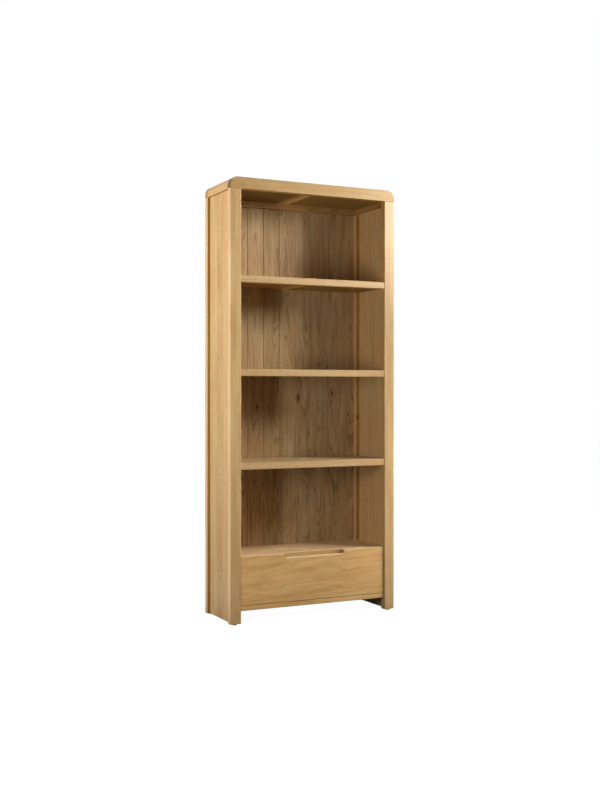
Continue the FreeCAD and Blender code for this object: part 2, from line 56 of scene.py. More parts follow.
Colour = tuple[float, float, float, float]
Triple = tuple[float, float, float]
Range = tuple[float, float]
Tree = bpy.types.NodeTree
Socket = bpy.types.NodeSocket
Material = bpy.types.Material
Sockets = dict[str, Socket]
Inputs = Mapping[str | int, object]
# One node of a tree: its name, its kind, its settings or only its operation, and its inputs.
Step = tuple[str, str, dict[str, object] | str, Inputs | tuple]
Steps = tuple[Step, ...]
# One coat on the wood: how it blends, its mask, its share where the mask is full, its colour.
Coat = tuple[str, Socket, float, str]

MATHS = "ShaderNodeMath"
VECTORS = "ShaderNodeVectorMath"
JOIN = "ShaderNodeCombineXYZ"
SPLIT = "ShaderNodeSeparateXYZ"
SPLIT_COLOUR = "ShaderNodeSeparateColor"
NOISE = "ShaderNodeTexNoise"
CHANCE = "ShaderNodeTexWhiteNoise"
RANGE = "ShaderNodeMapRange"
MIX = "ShaderNodeMix"
PLACES = "ShaderNodeTexCoord"
BUMP = "ShaderNodeBump"
SURFACE = "ShaderNodeBsdfPrincipled"
RESULT = "ShaderNodeOutputMaterial"

SMOOTH = {"interpolation_type": "SMOOTHSTEP"}   # settings of a range with soft ends
MIX_SHARE, MIX_UNDER, MIX_OVER = 0, 6, 7        # inputs of a mix of colours
RANDOM_MOST = 3                                 # input of a random number, its upper limit
NOISE_RANGE = (0.3, 0.7)                        # nearly every value of a noise lies in it
MIDDLE_TONE = 0.5                               # between 0, the deepest, and 1, the palest
MIDDLE_RING = 0.72                              # a year has more pale wood than dark


def linear(hex_colour: str) -> Colour:
    """Turn an sRGB hex value into a linear colour.

    Args:
        hex_colour: Six hex digits, without a leading sign.

    Returns:
        Linear red, green and blue, with an alpha of 1.
    """
    channels = []
    for start in (0, 2, 4):
        value = int(hex_colour[start:start + 2], 16) / 255
        channels.append(value / 12.92 if value <= 0.04045 else ((value + 0.055) / 1.055) ** 2.4)
    return channels[0], channels[1], channels[2], 1.0


def add_node(tree: Tree, kind: str, settings: Mapping[str, object] | None = None,
             inputs: Inputs | None = None) -> bpy.types.Node:
    """Add a node, set its properties, and set or link its inputs.

    Args:
        tree: The node tree that gets the node.
        kind: Blender's type name of the node.
        settings: Values for the node's own properties.
        inputs: For an input, by name or place, its value or the output socket that feeds it.

    Returns:
        The new node.
    """
    node = tree.nodes.new(kind)
    for name, value in (settings or {}).items():
        setattr(node, name, value)
    for key, value in (inputs or {}).items():
        if isinstance(value, Socket):
            tree.links.new(value, node.inputs[key])
        else:
            node.inputs[key].default_value = value
    return node


def add_steps(tree: Tree, start: Sockets, steps: Steps) -> Sockets:
    """Add nodes in order, each one wired by name to what is there before it.

    Args:
        tree: The node tree that gets the nodes.
        start: Output sockets to begin with, by name.
        steps: The nodes. An input that is the name of a socket is linked to it.

    Returns:
        All sockets by name: a node's first output under the node's name, and each output also
        under both names, as in "wave.Color".
    """
    known = dict(start)
    for name, kind, settings, inputs in steps:
        chosen = {"operation": settings} if isinstance(settings, str) else settings
        listed = inputs if isinstance(inputs, Mapping) else dict(enumerate(inputs))
        wired = {key: known.get(value, value) if isinstance(value, str) else value
                 for key, value in listed.items()}
        node = add_node(tree, kind, chosen, wired)
        outputs = [output for output in node.outputs if output.enabled]
        known.update({name: output for output in outputs[:1]})
        known.update({f"{name}.{output.name}": output for output in outputs})
    return known


def new_group(kind: str, name: str, inputs: Mapping[str, str],
              outputs: Mapping[str, str]) -> tuple[Tree, Sockets]:
    """Make a node group with named inputs and outputs.

    Args:
        kind: Blender's type name of the tree.
        name: Name of the group.
        inputs: For each input, its socket type.
        outputs: For each output, its socket type.

    Returns:
        The group, and the sockets of its inputs by name.
    """
    tree = bpy.data.node_groups.new(name, kind)
    for way, sockets in (("INPUT", inputs), ("OUTPUT", outputs)):
        for label, socket_type in sockets.items():
            tree.interface.new_socket(label, in_out=way, socket_type=socket_type)
    given = add_node(tree, "NodeGroupInput").outputs
    return tree, {label: given[label] for label in inputs}


def new_material(name: str) -> Material:
    """Make a material with an empty node tree.

    Args:
        name: Name of the material.

    Returns:
        The new material.
    """
    material = bpy.data.materials.new(name)
    material.use_nodes = True
    material.node_tree.nodes.clear()
    return material


def new_object(name: str, data: bpy.types.ID) -> bpy.types.Object:
    """Make an object and put it in the scene.

    Args:
        name: Name of the object.
        data: Its mesh, lamp or camera.

    Returns:
        The new object.
    """
    made = bpy.data.objects.new(name, data)
    bpy.context.scene.collection.objects.link(made)
    return made


class Lay(Enum):
    """How a board lies: the direction of its grain, and the one that its broad face looks in."""

    UPRIGHT_FACING_FRONT = ((0, 0, 1), (0, 1, 0))
    UPRIGHT_FACING_SIDE = ((0, 0, 1), (1, 0, 0))
    ACROSS_FACING_FRONT = ((1, 0, 0), (0, 1, 0))
    ACROSS_FACING_UP = ((1, 0, 0), (0, 0, 1))
    DEEP_FACING_SIDE = ((0, 1, 0), (1, 0, 0))
    DEEP_FACING_UP = ((0, 1, 0), (0, 0, 1))

    def turn(self) -> Matrix:
        """Rotation to board axes: X along the grain, Y across the broad face, Z through it."""
        grain, broad = (Vector(axis) for axis in self.value)
        return Matrix((grain, broad.cross(grain), broad))


@dataclass(frozen=True)
class Knot:
    """A knot in the face of a board, placed in the frame of the CAD model."""

    place_mm: Triple
    radius_mm: float
    length_share: float = 2.0       # a knot is longer along the grain
    depth: float = 0.85             # 1 hides the wood under the knot's own colour


@dataclass(frozen=True)
class FacingToneAndShade:
    """A tone on the faces of a piece that look one way. It multiplies the wood's own colour: it
    gives end grain its own tone, and paints shade on faces that get less light.
    """

    way: Triple
    hex_colour: str
    both_ways: bool = False
    starts: float = 0.35            # cosine of the angle at which the tone fades out
    full: float = 0.75

    def steps(self) -> Steps:
        """Find the faces that look this way.

        Returns:
            Steps from a "normal" to a "mask" of the faces, from 0 to 1.
        """
        one_way = ("turned", VECTORS, "DOT_PRODUCT", ("normal", self.way))
        either_way = ("turned", MATHS, "ABSOLUTE", ("turned",))
        mask = ("mask", RANGE, SMOOTH, ("turned", self.starts, self.full))
        return (one_way, either_way, mask) if self.both_ways else (one_way, mask)


@dataclass(frozen=True)
class PaintedLightStretch:
    """A stretch of painted light: a box in the frame of the CAD model, with soft faces, painted
    paler.
    """

    middle_mm: Triple
    half_size_mm: Triple
    soft_mm: Triple
    hex_colour: str
    share: float = 1.0

    def steps(self) -> Steps:
        """Find the stretch.

        Returns:
            Steps from a "place" in metres to a "mask" of the stretch, from 0 to 1.
        """
        return (
            ("in mm", VECTORS, "SCALE", {"Vector": "place", "Scale": 1 / MM}),
            ("from middle", VECTORS, "SUBTRACT", ("in mm", self.middle_mm)),
            ("either side", VECTORS, "ABSOLUTE", ("from middle",)),
            ("beyond", VECTORS, "SUBTRACT", ("either side", self.half_size_mm)),
            ("outside", VECTORS, "MAXIMUM", ("beyond", (0.0, 0.0, 0.0))),
            ("in softs", VECTORS, "DIVIDE", ("outside", self.soft_mm)),
            ("gap", VECTORS, "LENGTH", ("in softs",)),
            ("mask", RANGE, SMOOTH, ("gap", 0.0, 1.0, 1.0, 0.0)),
        )


@dataclass(frozen=True)
class Marks:
    """What sets one piece apart from others of the same wood, and the light and shade painted on
    it.
    """

    knots: tuple[Knot, ...] = ()
    # paler also paints light and shade: on the side panels, the back boards and the ceiling and
    # shelf leaves
    paler: float = 0.0              # from -0.5 for the deepest colour to 0.5 for the palest
    painted_shades: tuple[FacingToneAndShade, ...] = ()
    painted_lights: tuple[PaintedLightStretch, ...] = ()


@dataclass(frozen=True)
class Pattern:
    """A noise that is drawn out along the grain."""

    length_mm: float
    width_mm: float
    detail: float = 1.0
    roughness: float = 0.5

    def steps(self, name: str, shift: str | Triple = "own cut") -> Steps:
        """Read the noise at a "place" in the trunk.

        Args:
            name: Name that the noise gets.
            shift: What is added to the place, by name or as numbers.

        Returns:
            Steps that end in the noise.
        """
        scale = (1 / self.length_mm, 1 / self.width_mm, 1 / self.width_mm)
        return (
            (f"{name} at", VECTORS, "MULTIPLY_ADD", ("place", scale, shift)),
            (name, NOISE, {}, {"Vector": f"{name} at", "Scale": 1.0, "Detail": self.detail,
                               "Roughness": self.roughness}),
        )


@dataclass(frozen=True)
class OakLog:
    """How the trunk grew: the pattern of rings, pores and streaks that every board is cut from."""

    bend: Pattern = Pattern(300.0, 85.0, 1.5)
    bend_height_mm: float = 26.0
    wobble: Pattern = Pattern(48.0, 9.0, 2.0)
    wobble_height_mm: float = 2.4
    uneven_rings_mm: float = 24.0
    uneven_share: float = 1.8
    streak: Pattern = Pattern(900.0, 17.0, 3.0, 0.6)
    patch: Pattern = Pattern(230.0, 48.0)
    pore: Pattern = Pattern(14.0, 1.1)      # 0.3 mm wide in real oak, drawn wider so as to show
    pore_cut: Range = (0.55, 0.68)
    fewest_pores: float = 0.15              # share of the pores that pale wood keeps
    most_pores_at: float = 0.8              # how dark the wood is where all of them are open
    early_wood: Range = (0.04, 0.46)
    late_wood: Range = (0.88, 1.0)
    weakest_year: float = 0.25
    shift_along_mm: float = 1700.0

    @cache
    def tree(self) -> Tree:
        """Build the group that reads the trunk at a point in board axes.

        Returns:
            A group with the outputs Ring, Pore, Streak, Patch, Stave and Warmth, from 0 to 1.
        """
        numbers = ("Stave width", "Stave swing", "Pith across", "Pith depth", "Taper",
                   "Ring width", "Seed")
        readings = ("Ring", "Pore", "Streak", "Patch", "Stave", "Warmth")
        tree, given = new_group(
            "ShaderNodeTree", "oak_log",
            {"Point": "NodeSocketVector", **dict.fromkeys(numbers, "NodeSocketFloat")},
            dict.fromkeys(readings, "NodeSocketFloat"))
        known = add_steps(tree, given, self.stave_steps() + self.ring_steps() + self.mark_steps())
        add_node(tree, "NodeGroupOutput", None, {name: known[name] for name in readings})
        return tree

    def stave_steps(self) -> Steps:
        """Cut each stave from another place along and across the trunk.

        Returns:
            Steps from "Point" to a "place" in the trunk and the stave's "own cut".
        """
        return (
            ("point", SPLIT, {}, ("Point",)),
            ("staves over", MATHS, "DIVIDE", ("point.Y", "Stave width")),
            ("nearest", MATHS, "ADD", ("staves over", 0.5)),
            ("number", MATHS, "FLOOR", ("nearest",)),
            ("key", JOIN, {}, ("number", "Seed")),
            ("draws", CHANCE, {"noise_dimensions": "2D"}, {"Vector": "key"}),
            ("draw", SPLIT_COLOUR, {}, ("draws.Color",)),
            ("Stave", MATHS, "ADD", ("draw.Blue", 0.0)),
            ("stave middle", MATHS, "MULTIPLY", ("number", "Stave width")),
            ("in stave", MATHS, "SUBTRACT", ("point.Y", "stave middle")),
            ("offset", MATHS, "SUBTRACT", ("draw.Green", 0.5)),
            ("swung", MATHS, "MULTIPLY_ADD", ("offset", "Stave swing", "in stave")),
            ("across", MATHS, "ADD", ("swung", "Pith across")),
            ("depth", MATHS, "ADD", ("point.Z", "Pith depth")),
            ("rise", MATHS, "MULTIPLY_ADD", ("point.X", "Taper", "depth")),
            ("along", MATHS, "MULTIPLY_ADD", ("draw.Red", self.shift_along_mm, "point.X")),
            ("place", JOIN, {}, ("along", "across", "rise")),
            ("own cut", JOIN, {}, ("Seed", "number", "Seed")),
        )

    def ring_steps(self) -> Steps:
        """Bend the pith, roughen the rings, and shade each year from dark to pale.

        Returns:
            Steps from "place" to "dark", the early wood, and "Ring".
        """
        reach = 2 * self.bend_height_mm
        return (
            *self.bend.steps("bend"),
            ("bent", VECTORS, "MULTIPLY_ADD", ("bend.Color", (0.0, reach, reach), "place")),
            ("to middle", VECTORS, "SUBTRACT", ("bent", (0.0, reach / 2, reach / 2))),
            ("in trunk", VECTORS, "MULTIPLY", ("to middle", (0.0, 1.0, 1.0))),
            ("radius", VECTORS, "LENGTH", ("in trunk",)),
            *self.wobble.steps("wobble"),
            ("rough", MATHS, "MULTIPLY_ADD", ("wobble", 2 * self.wobble_height_mm, "radius")),
            ("years", MATHS, "DIVIDE", ("rough", "Ring width")),
            ("pace at", MATHS, "DIVIDE", ("rough", self.uneven_rings_mm)),
            ("pace", NOISE, {"noise_dimensions": "1D"},
             {"W": "pace at", "Scale": 1.0, "Detail": 1.0}),
            ("rings", MATHS, "MULTIPLY_ADD", ("pace", self.uneven_share, "years")),
            ("phase", MATHS, "FRACT", ("rings",)),
            ("year", MATHS, "FLOOR", ("rings",)),
            ("early", RANGE, SMOOTH, ("phase", *self.early_wood)),
            ("late", RANGE, SMOOTH, ("phase", *self.late_wood, 1.0, 0.0)),
            ("pale", MATHS, "MULTIPLY", ("early", "late")),
            ("dark", MATHS, "SUBTRACT", (1.0, "pale")),
            ("weather", CHANCE, {"noise_dimensions": "1D"}, {"W": "year"}),
            ("strength", RANGE, {}, ("weather", 0.0, 1.0, self.weakest_year, 1.0)),
            ("shade", MATHS, "MULTIPLY", ("dark", "strength")),
            ("Ring", MATHS, "SUBTRACT", (1.0, "shade")),
        )

    def mark_steps(self) -> Steps:
        """Mark pores in the early wood, long tonal streaks, and broad patches of tone.

        Returns:
            Steps from "place" and "dark" to "Pore", "Streak", "Patch" and "Warmth".
        """
        return (
            *self.pore.steps("pore", (0.0, 0.0, 0.0)),
            ("open", RANGE, SMOOTH, ("pore", *self.pore_cut)),
            ("porous", RANGE, {}, ("dark", 0.0, self.most_pores_at, self.fewest_pores, 1.0)),
            ("Pore", MATHS, "MULTIPLY", ("open", "porous")),
            *self.streak.steps("streak"),
            ("Streak", RANGE, {}, ("streak", *NOISE_RANGE)),
            *self.patch.steps("patch"),
            ("hues", SPLIT_COLOUR, {}, ("patch.Color",)),
            ("Patch", RANGE, {}, ("hues.Red", *NOISE_RANGE)),
            ("Warmth", RANGE, {}, ("hues.Green", *NOISE_RANGE)),
        )


@dataclass(frozen=True)
class KnotShape:
    """How the grain swells round a knot, in radii of the knot unless it is a length."""

    swell_along: float = 3.6
    swell_across: float = 2.2
    swell_mm: float = 13.0
    edge: float = 1.6
    heart: float = 0.2
    depth_share: float = 2.0        # a knot goes deep into its board

    @cache
    def tree(self) -> Tree:
        """Build the group that bends the grain round one knot.

        Returns:
            A group with the bent Point, and Dark, which is 1 in the heart of the knot.
        """
        tree, given = new_group("ShaderNodeTree", "oak_knot", {
            "Point": "NodeSocketVector", "Centre": "NodeSocketVector",
            "Radius": "NodeSocketFloat", "Length": "NodeSocketFloat",
        }, {"Point": "NodeSocketVector", "Dark": "NodeSocketFloat"})
        swell = (1 / self.swell_along, 1 / self.swell_across, 0.0)
        known = add_steps(tree, given, (
            ("away", VECTORS, "SUBTRACT", ("Point", "Centre")),
            ("size", JOIN, {}, ("Radius", "Radius", "Radius")),
            ("radii", VECTORS, "DIVIDE", ("away", "size")),
            ("swell at", VECTORS, "MULTIPLY", ("radii", swell)),
            ("square", VECTORS, "DOT_PRODUCT", ("swell at", "swell at")),
            ("fall", MATHS, "MULTIPLY", ("square", -1.0)),
            ("bulge", MATHS, "EXPONENT", ("fall",)),
            ("height", MATHS, "MULTIPLY", ("bulge", self.swell_mm)),
            ("lift", JOIN, {}, (0.0, 0.0, "height")),
            ("bent", VECTORS, "ADD", ("Point", "lift")),
            ("oval", JOIN, {}, ("Length", 1.0, self.depth_share)),
            ("in oval", VECTORS, "DIVIDE", ("radii", "oval")),
            ("out", VECTORS, "LENGTH", ("in oval",)),
            ("heart", RANGE, SMOOTH, ("out", self.edge, self.heart)),
        ))
        add_node(tree, "NodeGroupOutput", None, {"Point": known["bent"], "Dark": known["heart"]})
        return tree


@dataclass(frozen=True)
class OakFinish:
    """Oak under satin lacquer: warm honey wood, dark early rings, a soft sheen at low angles."""

    name: str
    deep_hex: str
    body_hex: str
    pale_hex: str
    pore_hex: str = "6E5030"
    knot_hex: str = "5A3A1C"
    end_hex: str = "D2C298"         # multiplies end grain, which drinks more lacquer
    warm_hex: str = "FFE6DA"        # multiplies the rosier stretches
    ring_width_mm: float = 4.5
    ring_play: Range = (0.85, 1.15)
    slant: float = 0.0              # angle of the grain to the length of the piece, in radians
    pith_depth_mm: float = 75.0
    pith_play: Range = (0.8, 1.25)
    pith_swing_mm: float = 30.0
    taper: float = 0.035
    cuts: float = 50.0              # how far apart the pieces are in the noises
    stave_width_mm: float = 4000.0  # one board, unless the piece is glued up from staves
    figure: float = 0.35
    streaks: float = 0.30
    patches: float = 0.20
    stave_contrast: float = 0.0
    warmth: float = 0.5
    pore_depth: float = 0.45
    roughness: float = 0.46
    pore_roughness: float = 0.15    # what an open pore adds
    gloss: float = 0.40
    ior: float = 1.5
    bump_mm: float = 0.25
    bump_strength: float = 0.25

    def material(self, piece: str, lay: Lay, place: tuple[Vector, Vector],
                 marks: Marks) -> Material:
        """Make the oak of one piece.

        Args:
            piece: Name of the piece, which also picks its place in the trunk.
            lay: How the piece lies.
            place: Lowest and highest corner of the piece.
            marks: What sets it apart.

        Returns:
            The material, with its pattern centred on the piece.
        """
        material = new_material(f"{self.name}_{piece}")
        tree = material.node_tree
        turn = Matrix.Rotation(self.slant, 3, "Z") @ lay.turn()
        centre = turn @ ((place[0] + place[1]) / 2 / MM)
        places = add_node(tree, PLACES).outputs
        point = add_node(tree, "ShaderNodeMapping", None, {
            "Vector": places["Object"], "Location": -centre,
            "Rotation": turn.to_euler("XYZ"), "Scale": (1 / MM, 1 / MM, 1 / MM),
        }).outputs[0]
        hearts: list[Coat] = []
        for knot in marks.knots:
            bend = add_node(tree, "ShaderNodeGroup", {"node_tree": KnotShape().tree()}, {
                "Point": point, "Centre": turn @ Vector(knot.place_mm) - centre,
                "Radius": knot.radius_mm, "Length": knot.length_share,
            }).outputs
            point = bend["Point"]
            hearts.append(("MIX", bend["Dark"], knot.depth, self.knot_hex))
        wood = self.cut(tree, point, piece)
        colour = self.bare(tree, wood, marks.paler)
        for blend, mask, share, hex_colour in (
                ("MULTIPLY", wood["Warmth"], self.warmth, self.warm_hex),
                ("MIX", wood["Pore"], self.pore_depth, self.pore_hex),
                *hearts, *self.stains_and_painted_light(tree, places, lay, marks)):
            colour = add_steps(tree, {}, (
                ("amount", MATHS, "MULTIPLY", (mask, share)),
                ("coated", MIX, {"data_type": "RGBA", "blend_type": blend}, {
                    MIX_SHARE: "amount", MIX_UNDER: colour, MIX_OVER: linear(hex_colour),
                }),
            ))["coated"]
        add_steps(tree, {"Pore": wood["Pore"], "Ring": wood["Ring"], "colour": colour}, (
            ("rough", RANGE, {}, ("Pore", 0.0, 1.0, self.roughness,
                                  self.roughness + self.pore_roughness)),
            ("height", MATHS, "MULTIPLY_ADD", ("Pore", -1.0, "Ring")),
            ("bump", BUMP, {}, {"Height": "height", "Strength": self.bump_strength,
                                "Distance": self.bump_mm * MM}),
            ("shader", SURFACE, {}, {
                "Base Color": "colour", "Roughness": "rough", "Normal": "bump",
                "IOR": self.ior, "Specular IOR Level": self.gloss,
            }),
            ("surface", RESULT, {}, {"Surface": "shader"}),
        ))
        return material

    def cut(self, tree: Tree, point: Socket, piece: str) -> Sockets:
        """Cut a piece from its own place in the trunk.

        Args:
            tree: The material's nodes.
            point: The point in board axes, in millimetres.
            piece: Name of the piece.

        Returns:
            What the trunk reads at the point, by name.
        """
        draw = random.Random(piece)
        side = draw.choice((-1.0, 1.0))
        outputs = add_node(tree, "ShaderNodeGroup", {"node_tree": OakLog().tree()}, {
            "Point": point,
            "Stave width": self.stave_width_mm,
            "Stave swing": 2 * self.pith_swing_mm,
            "Pith across": draw.uniform(-self.pith_swing_mm, self.pith_swing_mm),
            "Pith depth": side * self.pith_depth_mm * draw.uniform(*self.pith_play),
            "Taper": self.taper * draw.choice((-1.0, 1.0)),
            "Ring width": self.ring_width_mm * draw.uniform(*self.ring_play),
            "Seed": draw.uniform(0, self.cuts),
        }).outputs
        return {output.name: output for output in outputs}

    def bare(self, tree: Tree, wood: Sockets, paler: float) -> Socket:
        """Colour the bare wood between the finish's deepest and palest colour.

        Args:
            tree: The material's nodes.
            wood: What the trunk reads, by name.
            paler: What the piece adds to the middle tone.

        Returns:
            The colour.
        """
        tone: float | Socket = MIDDLE_TONE + paler
        for reading, middle, share in (("Ring", MIDDLE_RING, self.figure),
                                       ("Streak", MIDDLE_TONE, self.streaks),
                                       ("Patch", MIDDLE_TONE, self.patches),
                                       ("Stave", MIDDLE_TONE, self.stave_contrast)):
            tone = add_steps(tree, {}, (
                ("centred", MATHS, "SUBTRACT", (wood[reading], middle)),
                ("tone", MATHS, "MULTIPLY_ADD", ("centred", share, tone)),
            ))["tone"]
        ramp = add_node(tree, "ShaderNodeValToRGB", None, {0: tone})
        stops = ramp.color_ramp.elements
        stops[0].position, stops[0].color = 0.0, linear(self.deep_hex)
        stops[1].position, stops[1].color = 1.0, linear(self.pale_hex)
        stops.new(MIDDLE_TONE).color = linear(self.body_hex)
        return ramp.outputs[0]

    def stains_and_painted_light(self, tree: Tree, places: bpy.types.NodeOutputs, lay: Lay,
               marks: Marks) -> list[Coat]:
        """Stain the end grain, paint shade on the faces that look one way, and paint light on the
        stretches.

        Args:
            tree: The material's nodes.
            places: Outputs of the texture coordinates.
            lay: How the piece lies.
            marks: What sets the piece apart.

        Returns:
            The coats in order.
        """
        coats: list[Coat] = []
        ends = FacingToneAndShade(lay.value[0], self.end_hex, both_ways=True)
        for face in (ends, *marks.painted_shades):
            mask = add_steps(tree, {"normal": places["Normal"]}, face.steps())["mask"]
            coats.append(("MULTIPLY", mask, 1.0, face.hex_colour))
        for painted_light in marks.painted_lights:
            mask = add_steps(tree, {"place": places["Object"]}, painted_light.steps())["mask"]
            coats.append(("MIX", mask, painted_light.share, painted_light.hex_colour))
        return coats


# Solid oak posts, planed and lacquered: straight, quiet grain with a sheen down their length.
POST_OAK = OakFinish(
    "planed_oak_post_in_satin_lacquer", "B18A54", "CDA96F", "DEBE86", figure=0.16, streaks=0.45,
    ring_width_mm=3.6, pith_depth_mm=110.0, gloss=0.5, roughness=0.34, pore_depth=0.15)
# Solid oak rails: narrow, with grain that runs out of their edges in long slivers. Darker than the
# posts: painted shade that offsets the strong light on the top rail.
RAIL_OAK_WITH_PAINTED_SHADE = OakFinish(
    "planed_oak_rail_in_satin_lacquer", "A37C45", "BD9A5E", "CCAD77", figure=0.2, streaks=0.35,
    ring_width_mm=4.2, pore_depth=0.2)
# Solid oak lippings on the shelves: as the rails, a little paler.
LIPPING_OAK = OakFinish(
    "planed_oak_lipping_in_satin_lacquer", "AF8A57", "C8A671", "D8BA88", figure=0.2,
    streaks=0.35, ring_width_mm=4.2, pore_depth=0.2)
# Side panels of oak staves, edge-glued and sanded: upright strips that differ in tone.
PANEL_OAK = OakFinish(
    "edge_glued_oak_panel_in_satin_lacquer", "A68350", "C09F6B", "D0B180", figure=0.22,
    streaks=0.45, stave_width_mm=78.0, stave_contrast=0.40, gloss=0.15)
# Shelf boards of oak staves, sanded: strips across the bookcase.
BOARD_OAK = OakFinish(
    "edge_glued_oak_board_in_satin_lacquer", "B49664", "D3B98C", "DCC99E", figure=0.25,
    streaks=0.4, stave_width_mm=90.0, stave_contrast=0.25, gloss=0.25)
# The deck over the drawer: as the shelf boards, made paler: painted light where the lamp above
# falls on it.
DECK_OAK_WITH_PAINTED_LIGHT = OakFinish(
    "edge_glued_oak_deck_in_satin_lacquer", "D0AE77", "F4D6A3", "FEE8B7", figure=0.25,
    streaks=0.4, stave_width_mm=90.0, stave_contrast=0.25, gloss=0.25)
# Sawn oak battens: plain offcuts, duller than the show pieces.
BATTEN_OAK = OakFinish(
    "sawn_oak_batten_in_satin_lacquer", "896536", "A98550", "B89664", figure=0.25, gloss=0.15)
# Plain-sawn rustic oak, tongued and grooved, thin lacquer: cathedral figure, open grain, knots.
BACK_OAK = OakFinish(
    "plain_sawn_rustic_oak_in_thin_lacquer", "816849", "B1966C", "C6AF86", figure=0.42,
    streaks=0.35, patches=0.35, ring_width_mm=7.0, pith_depth_mm=34.0, pith_swing_mm=16.0,
    taper=0.05, pore_depth=0.3, warmth=0.6, gloss=0.1)
# The drawer front is one wide plain-sawn board: long soft arcs that run across it.
FRONT_OAK = OakFinish(
    "plain_sawn_oak_front_in_satin_lacquer", "C48F52", "DFB36F", "F2CE8F", figure=0.2,
    streaks=0.4, ring_width_mm=18.0, slant=0.07, pith_depth_mm=260.0, taper=0.03,
    pore_depth=0.1)
# Planed ash under clear lacquer: pale drawer sides with wide, light rings.
BOX_ASH = OakFinish(
    "planed_ash_in_clear_lacquer", "BFA67F", "D8C29C", "E4D2B0", pore_hex="A88C62", figure=0.3,
    ring_width_mm=5.0, stave_width_mm=120.0, stave_contrast=0.2, warmth=0.2)
# Rotary-cut birch plywood: one broad, faint figure over the whole sheet.
BIRCH_PLY = OakFinish(
    "rotary_cut_birch_plywood", "C6AB82", "D9C29B", "E4D2AF", pore_hex="B59A70", figure=0.25,
    ring_width_mm=22.0, pith_depth_mm=25.0, warmth=0.2, pore_depth=0.1)


@dataclass(frozen=True)
class ZincFinish:
    """Rolled sheet steel with bright zinc plating: cool, with faint lines from the rolls."""

    name: str = "zinc_plated_rolled_steel"
    colour_hex: str = "C9CBCC"
    stain_hex: str = "A9ABA9"
    line_width_mm: float = 0.8      # drawn wider than the real roll marks so that they show
    line_length_mm: float = 60.0
    cloud_mm: float = 35.0
    cloud_detail: float = 3.0
    roughness: Range = (0.26, 0.42)

    @cache
    def material(self) -> Material:
        """Make the plated steel.

        Returns:
            The material.
        """
        material = new_material(self.name)
        width = 1 / (self.line_width_mm * MM)
        length = 1 / (self.line_length_mm * MM)
        add_steps(material.node_tree, {}, (
            ("places", PLACES, {}, ()),
            ("lines", VECTORS, "MULTIPLY", ("places.Object", (width, length, width))),
            ("roll", NOISE, {}, {"Vector": "lines", "Scale": 1.0}),
            ("cloud", NOISE, {}, {"Vector": "places.Object", "Scale": 1 / (self.cloud_mm * MM),
                                  "Detail": self.cloud_detail}),
            ("colour", MIX, {"data_type": "RGBA"}, {
                MIX_SHARE: "cloud", MIX_UNDER: linear(self.colour_hex),
                MIX_OVER: linear(self.stain_hex),
            }),
            ("rough", RANGE, {}, ("roll", *NOISE_RANGE, *self.roughness)),
            ("shader", SURFACE, {}, {
                "Base Color": "colour", "Metallic": 1.0, "Roughness": "rough",
            }),
            ("surface", RESULT, {}, {"Surface": "shader"}),
        ))
        return material


@dataclass(frozen=True)
class GlideFinish:
    """Moulded black polyethylene: dull, with a fine spark-eroded grain."""

    name: str = "moulded_black_polyethylene"
    colour_hex: str = "121213"
    grain_mm: float = 0.6
    grain_depth_mm: float = 0.1
    grain_strength: float = 0.2
    roughness: float = 0.55
    ior: float = 1.51

    def material(self) -> Material:
        """Make the plastic.

        Returns:
            The material.
        """
        material = new_material(self.name)
        add_steps(material.node_tree, {}, (
            ("places", PLACES, {}, ()),
            ("grain", NOISE, {}, {"Vector": "places.Object", "Scale": 1 / (self.grain_mm * MM)}),
            ("bump", BUMP, {}, {"Height": "grain", "Strength": self.grain_strength,
                                "Distance": self.grain_depth_mm * MM}),
            ("shader", SURFACE, {}, {
                "Base Color": linear(self.colour_hex), "Roughness": self.roughness,
                "Normal": "bump", "IOR": self.ior,
            }),
            ("surface", RESULT, {}, {"Surface": "shader"}),
        ))
        return material


